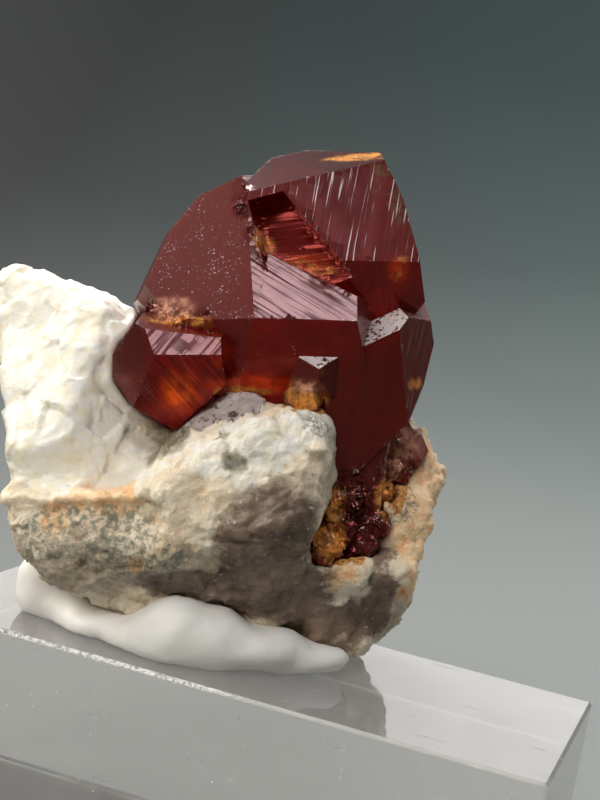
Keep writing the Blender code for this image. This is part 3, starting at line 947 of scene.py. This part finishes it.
def matrix_material():
    made, tree, shader = new_material("feldspar and smoky quartz")
    coords = node(tree, "ShaderNodeTexCoord").outputs["Object"]
    mask = {name: value_of(tree, name) for name in
            ("smoke", "dusk", "speckle", "peach", "olive", "mica", "honey", "snow", "glassy")}
    broad = noise_of(tree, coords, 0.45, 4.0)
    medium = noise_of(tree, coords, 1.6, 5.0, 0.6)
    fine = noise_of(tree, coords, 6.0, 5.0, 0.65)
    flecks = noise_of(tree, coords, 3.0, 4.0, 0.75)
    other = noise_of(tree, coords, 2.2, 5.0, 0.7)
    ragged = maths(tree, "ADD", maths(tree, "MULTIPLY_ADD", other, 1.3, -0.65),
                   maths(tree, "MULTIPLY_ADD", fine, 0.5, -0.25))

    def patch(name, low=0.40, high=0.52):
        """A mineral's share, with a ragged, crisp border."""
        inside = ramp(tree, mask[name], 0.0, 0.12)
        return maths(tree, "MULTIPLY", inside,
                     ramp(tree, maths(tree, "ADD", mask[name], ragged), low, high))

    def times(first, second):
        return maths(tree, "MULTIPLY", first, second)

    def paint(under, share, dark, light, pattern, low, high):
        """Lay a two-colour mineral over what is under it."""
        return mix(tree, share, under, mix(tree, ramp(tree, pattern, low, high), dark, light))

    colour = mix(tree, ramp(tree, broad, 0.35, 0.65), (0.87, 0.68, 0.46), (0.95, 0.84, 0.67))
    colour = mix(tree, ramp(tree, medium, 0.52, 0.66, 0.0, 0.45), colour, (0.56, 0.46, 0.33))
    colour = mix(tree, ramp(tree, fine, 0.53, 0.66, 0.0, 0.7), colour, (0.95, 0.92, 0.85))
    colour = paint(colour, patch("snow", 0.20, 0.60),
                   (0.95, 0.86, 0.68), (0.99, 0.96, 0.89), medium, 0.35, 0.60)
    colour = paint(colour, times(patch("dusk", 0.25, 0.65), 0.65),
                   (0.28, 0.20, 0.14), (0.66, 0.55, 0.42), other, 0.38, 0.62)
    colour = paint(colour, times(patch("peach", 0.25, 0.75), 0.8),
                   (0.92, 0.44, 0.16), (0.99, 0.72, 0.44), medium, 0.35, 0.60)
    colour = paint(colour, patch("smoke", 0.20, 0.75),
                   (0.095, 0.058, 0.036), (0.30, 0.205, 0.145), broad, 0.36, 0.62)
    frosty = times(patch("smoke", 0.3, 0.5), ramp(tree, flecks, 0.62, 0.68))
    colour = mix(tree, times(frosty, 0.8), colour, (0.66, 0.61, 0.57))
    colour = paint(colour, times(patch("speckle", 0.35, 0.60), ramp(tree, flecks, 0.46, 0.56, 0.0, 0.85)),
                   (0.075, 0.080, 0.055), (0.32, 0.32, 0.24), fine, 0.38, 0.60)
    # olive spots, dark as painted shade in the valley
    colour = paint(colour, times(patch("olive", 0.15, 1.15), 0.9),
                   (0.030, 0.026, 0.008), (0.26, 0.21, 0.09), flecks, 0.42, 0.60)
    crystals = cells_of(tree, coords, 1.4).outputs["Distance"]
    outline = ramp(tree, maths(tree, "ABSOLUTE", maths(tree, "SUBTRACT", crystals, 0.30)),
                   0.04, 0.10)
    outline = maths(tree, "MAXIMUM", outline, ramp(tree, medium, 0.54, 0.46))
    outline = times(outline, ramp(tree, flecks, 0.34, 0.44))
    colour = paint(colour, patch("mica", 0.30, 0.38), (0.09, 0.068, 0.062), (0.50, 0.43, 0.42),
                   outline, 0.1, 0.9)
    colour = paint(colour, patch("honey", 0.45, 0.60),
                   (0.40, 0.12, 0.02), (0.80, 0.45, 0.14), fine, 0.40, 0.60)
    tree.links.new(colour, shader.inputs["Base Color"])

    glossy = maths(tree, "MAXIMUM", mask["smoke"], mask["mica"])
    glossy = maths(tree, "MAXIMUM", glossy, ramp(tree, mask["glassy"], 0.0, 0.5))
    rough = ramp(tree, fine, 0.3, 0.7, 0.38, 0.75)
    rough = maths(tree, "SUBTRACT", rough, times(glossy, 0.22))
    tree.links.new(rough, shader.inputs["Roughness"])
    shader.inputs["IOR"].default_value = 1.54
    shader.inputs["Subsurface Weight"].default_value = 0.30
    shader.inputs["Subsurface Radius"].default_value = (1.0, 0.75, 0.5)
    shader.inputs["Subsurface Scale"].default_value = 0.5 * MM

    coarse = maths(tree, "MULTIPLY_ADD", glossy, -0.7, 1.0)
    normal = bump(tree, times(other, coarse), 0.11, 1.0)
    normal = bump(tree, times(fine, coarse), 0.08, 1.0, normal)
    sugar = cells_of(tree, coords, 4.5).outputs["Distance"]
    normal = bump(tree, times(sugar, coarse), 0.035, 0.8, normal)
    tree.links.new(normal, shader.inputs["Normal"])
    return made


def putty_material():
    made, tree, shader = new_material("white putty")
    coords = node(tree, "ShaderNodeTexCoord").outputs["Object"]
    soft = noise_of(tree, coords, 0.8, 4.0)
    fine = noise_of(tree, coords, 5.0, 4.0)
    colour = mix(tree, soft, (0.95, 0.94, 0.92), (0.90, 0.87, 0.82))
    tree.links.new(colour, shader.inputs["Base Color"])
    tree.links.new(ramp(tree, fine, 0.3, 0.7, 0.42, 0.62), shader.inputs["Roughness"])
    shader.inputs["Subsurface Weight"].default_value = 0.5
    shader.inputs["Subsurface Radius"].default_value = (1.0, 0.85, 0.7)
    shader.inputs["Subsurface Scale"].default_value = 0.8 * MM
    tree.links.new(bump(tree, fine, 0.02, 0.5), shader.inputs["Normal"])
    return made


def acrylic_material():
    made, tree, shader = new_material("clear acrylic")
    coords = node(tree, "ShaderNodeTexCoord").outputs["Object"]
    haze = noise_of(tree, coords, 0.25, 4.0)
    slant = node(tree, "ShaderNodeMapping", {"Vector": coords, "Rotation": (0, 0, 0.5),
                                             "Scale": (0.10, 1.6, 1.0)}).outputs[0]
    scratch = ramp(tree, noise_of(tree, slant, 3.0, 2.0, 0.6), 0.68, 0.74)
    out = node(tree, "ShaderNodeNewGeometry").outputs["Normal"]
    end = maths(tree, "ABSOLUTE", node(tree, "ShaderNodeSeparateXYZ", {0: out}).outputs["X"])
    scratch = maths(tree, "MULTIPLY", scratch, ramp(tree, end, 0.5, 0.4))
    dust = ramp(tree, cells_of(tree, coords, 1.3).outputs["Distance"], 0.09, 0.04)
    dust = maths(tree, "MULTIPLY", dust, ramp(tree, haze, 0.50, 0.60))
    crumbs = noise_of(tree, coords, 5.0, 4.0, 0.7)
    rim = maths(tree, "MULTIPLY", value_of(tree, "sawn"), ramp(tree, crumbs, 0.40, 0.52))
    light = maths(tree, "MAXIMUM", maths(tree, "MULTIPLY", dust, 0.8), rim)
    colour = mix(tree, light, (0.96, 0.94, 0.94), (1.0, 0.98, 0.97))
    tree.links.new(colour, shader.inputs["Base Color"])
    rough = ramp(tree, haze, 0.35, 0.7, 0.02, 0.12)
    rough = maths(tree, "ADD", rough, maths(tree, "MULTIPLY", scratch, 0.25))
    rough = maths(tree, "ADD", rough, maths(tree, "MULTIPLY", light, 0.3))
    tree.links.new(rough, shader.inputs["Roughness"])
    clear = maths(tree, "SUBTRACT", 0.86, maths(tree, "MULTIPLY", light, 0.74), clamp=True)
    tree.links.new(clear, shader.inputs["Transmission Weight"])
    shader.inputs["IOR"].default_value = 1.49
    tree.links.new(bump(tree, scratch, 0.008, 0.5), shader.inputs["Normal"])
    return made


# ------------------------------------------------------------ floor, lights
FLOOR_FLAT = 0.12
FLOOR_DROP = 0.00005
BACKDROP_RADIUS = 0.36
BACKDROP_HEIGHT = 0.20


def make_floor():
    """A pale floor that rises into a backdrop all round, with painted shade: darker far off and to the
    left.
    """
    bm = bmesh.new()
    steps, turns = 40, 96
    rings = []
    for i in range(1, steps + 1):
        t = i / steps
        radius = BACKDROP_RADIUS * t
        rise = max(0.0, (radius - FLOOR_FLAT) / (BACKDROP_RADIUS - FLOOR_FLAT))
        height = BACKDROP_HEIGHT * rise * rise * rise
        rings.append([
            bm.verts.new((radius * math.cos(a), radius * math.sin(a), height - FLOOR_DROP))
            for a in (2 * math.pi * j / turns for j in range(turns))
        ])
    middle = bm.verts.new((0, 0, -FLOOR_DROP))
    for j in range(turns):
        k = (j + 1) % turns
        bm.faces.new((middle, rings[0][j], rings[0][k]))
        for inner, outer in zip(rings, rings[1:]):
            bm.faces.new((inner[j], outer[j], outer[k], inner[k]))
    mesh = bpy.data.meshes.new("floor")
    bm.to_mesh(mesh)
    bm.free()
    made, tree, shader = new_material("floor")
    coords = node(tree, "ShaderNodeTexCoord").outputs["Object"]
    far = node(tree, "ShaderNodeVectorMath", {0: coords}, operation="LENGTH").outputs["Value"]
    # painted shade: the colour darkens towards the backdrop and towards the left
    colour = mix(tree, ramp(tree, far, 0.05, 0.30), (0.205, 0.222, 0.218), (0.030, 0.058, 0.060))
    side = node(tree, "ShaderNodeSeparateXYZ", {0: coords}).outputs["X"]
    shade = ramp(tree, side, -0.13, 0.01, 0.09, 1.0)
    colour = node(tree, "ShaderNodeVectorMath", {0: colour, "Scale": shade},
                  operation="SCALE").outputs[0]
    tree.links.new(colour, shader.inputs["Base Color"])
    shader.inputs["Roughness"].default_value = 0.9
    mesh.materials.append(made)
    mesh.shade_smooth()
    floor = bpy.data.objects.new("floor", mesh)
    bpy.context.scene.collection.objects.link(floor)


# soft lamps: the way to each in the specimen's own axes, distance, size, brightness, colour
LAMPS = (
    ("window", (0.05, -0.64, 0.77), 0.34, (0.11, 0.085), 7.2, (0.91, 0.92, 1.0)),
    ("ledge_light", (-0.265, 0.661, 0.702), 0.36, (0.075, 0.075), 42.0, (1.0, 0.98, 0.96)),
    ("top_light", (0.03, 0.27, 0.96), 0.34, (0.10, 0.09), 18.0, (1.0, 0.97, 0.92)),
    ("left", (-0.85, 0.03, 0.62), 0.34, (0.15, 0.15), 12.5, (1.0, 0.95, 0.86)),
    ("front_left", (-0.35, -0.75, 0.55), 0.30, (0.12, 0.12), 7.5, (1.0, 0.92, 0.80)),
    ("right_back", (0.80, 0.40, 0.50), 0.30, (0.12, 0.12), 6.0, (1.0, 0.95, 0.88)),
    ("back", (0.063, 0.898, 0.434), 0.23, (0.17, 0.075), 1.7, (1.0, 0.97, 0.95)),
)


# lamps that do not show as white patches through the clear block
UNSEEN_THROUGH = ("left", "ledge_light", "top_light", "right_back", "back")


def make_lamps():
    turn = STAND.to_3x3()
    middle = Vector((0.0, 0.0, 0.020))
    for name, way, far, size, brightness, colour in LAMPS:
        data = bpy.data.lights.new(name, "AREA")
        data.shape = "RECTANGLE"
        data.size, data.size_y = size
        data.energy = brightness * math.pi * size[0] * size[1]
        data.color = colour
        lamp = bpy.data.objects.new(name, data)
        bpy.context.scene.collection.objects.link(lamp)
        out = (turn @ Vector(way)).normalized()
        lamp.location = middle + out * far
        lamp.rotation_euler = out.to_track_quat("Z", "Y").to_euler()
        lamp.visible_camera = False
        lamp.visible_transmission = name not in UNSEEN_THROUGH
    world = bpy.data.worlds.new("studio")
    world.use_nodes = True
    sky = world.node_tree.nodes["Background"]
    sky.inputs["Color"].default_value = (0.86, 0.90, 0.90, 1.0)
    sky.inputs["Strength"].default_value = 0.25
    bpy.context.scene.world = world
    bpy.context.scene.view_settings.view_transform = "Standard"


# -------------------------------------------------------------------- build
make_camera()
make_floor()
make_lamps()

from mathutils.bvhtree import BVHTree

garnet = make_garnet(garnet_material())
tree_mesh = bmesh.new()
tree_mesh.from_mesh(garnet.data)
bmesh.ops.transform(tree_mesh, matrix=TO_SPECIMEN, verts=tree_mesh.verts)
garnet_tree = BVHTree.FromBMesh(tree_mesh)
tree_mesh.free()
make_matrix(matrix_material(), garnet_tree)
make_putty(putty_material())
make_block(acrylic_material())

bpy.context.view_layer.update()
